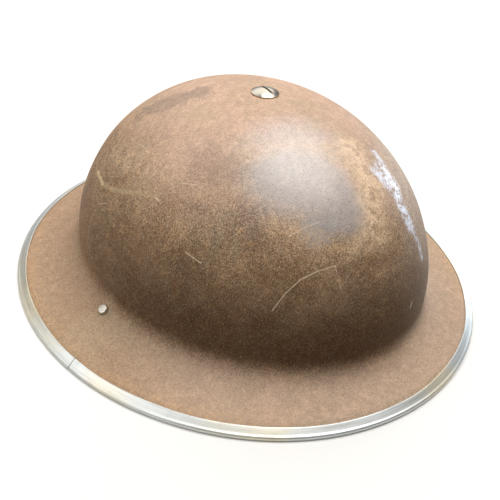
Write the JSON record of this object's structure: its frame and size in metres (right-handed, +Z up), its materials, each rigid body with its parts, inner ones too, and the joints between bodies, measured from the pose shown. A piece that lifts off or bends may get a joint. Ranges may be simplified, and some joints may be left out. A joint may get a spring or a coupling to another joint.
{
  "type": "steel bowl helmet",
  "caption": "Steel bowl helmet with a shallow brim, bright rim band, slotted crown screw, strap liner on rubber buffers and a two-part webbing chinstrap.",
  "frame": {"origin": "on the table under the middle of the rim", "axes": "+Z up through the crown screw, -Y the helmet's front, -X the wearer's left ear"},
  "size_m": [0.2949, 0.31, 0.1265],
  "materials": {
    "shell_paint": "rough sanded paint, worn",
    "rim_steel": "rubbed bright",
    "screw_steel": "polished",
    "fixing_steel": "dull",
    "lug_steel": "matt paint",
    "rivet_steel": "worn",
    "wire_steel": "dull",
    "liner_fibre": "hard fibre, matt",
    "felt": "felted",
    "leathercloth": "grained, satin",
    "rivet_brass": "aged",
    "buffer_rubber": "matt",
    "webbing": "woven cotton",
    "buckle_brass": "aged"
  },
  "bodies": {
    "helmet": {"shell": "shell_paint", "rim_band": "rim_steel", "crown_screw": "screw_steel", "crown_washer": "fixing_steel", "nut_washer": "fixing_steel", "crown_nut": "fixing_steel", "headband": "liner_fibre", "liner_strap_long": "liner_fibre", "liner_strap_cross": "liner_fibre", "crown_pad": "felt", "sweatband": "leathercloth", "buffer_rivets": "rivet_brass", "strap_rivets": "rivet_brass", "left_lug": "lug_steel", "right_lug": "lug_steel", "left_lug_rivet": "rivet_steel", "right_lug_rivet": "rivet_steel", "buffer_front": "buffer_rubber", "buffer_rear": "buffer_rubber", "buffer_left": "buffer_rubber", "buffer_right": "buffer_rubber", "buffer_left_front": "buffer_rubber", "buffer_right_front": "buffer_rubber", "buffer_left_rear": "buffer_rubber", "buffer_right_rear": "buffer_rubber"},
    "left_loop": {"left_loop": "wire_steel"},
    "right_loop": {"right_loop": "wire_steel"},
    "left_strap": {"left_chinstrap": "webbing", "strap_tip": "buckle_brass"},
    "right_strap": {"right_chinstrap": "webbing"},
    "buckle": {"strap_buckle": "buckle_brass"},
    "keeper": {"strap_keeper": "webbing"}
  },
  "joints": [
    {"name": "left_loop_swing", "type": "hinge", "parent": "helmet", "child": "left_loop", "pos_m": [-0.10203, 0, 0.01436], "axis": [0, -1, 0], "range_deg": [-40, 20]},
    {"name": "right_loop_swing", "type": "hinge", "parent": "helmet", "child": "right_loop", "pos_m": [0.10203, 0, 0.01436], "axis": [0, 1, 0], "range_deg": [-40, 20]},
    {"name": "left_strap_swing", "type": "hinge", "parent": "left_loop", "child": "left_strap", "pos_m": [-0.09351, 0, 0.0042], "axis": [0, -1, 0], "range_deg": [-45, 15]},
    {"name": "right_strap_swing", "type": "hinge", "parent": "right_loop", "child": "right_strap", "pos_m": [0.09351, 0, 0.0042], "axis": [0, 1, 0], "range_deg": [-45, 15]},
    {"name": "buckle_swing", "type": "hinge", "parent": "right_strap", "child": "buckle", "pos_m": [0.0224, 0, 0.0036], "axis": [0, 1, 0], "range_deg": [-45, 120]},
    {"name": "keeper_slide", "type": "slide", "parent": "right_strap", "child": "keeper", "axis": [1, 0, 0], "range_m": [-0.007, 0.007]}
  ]
}
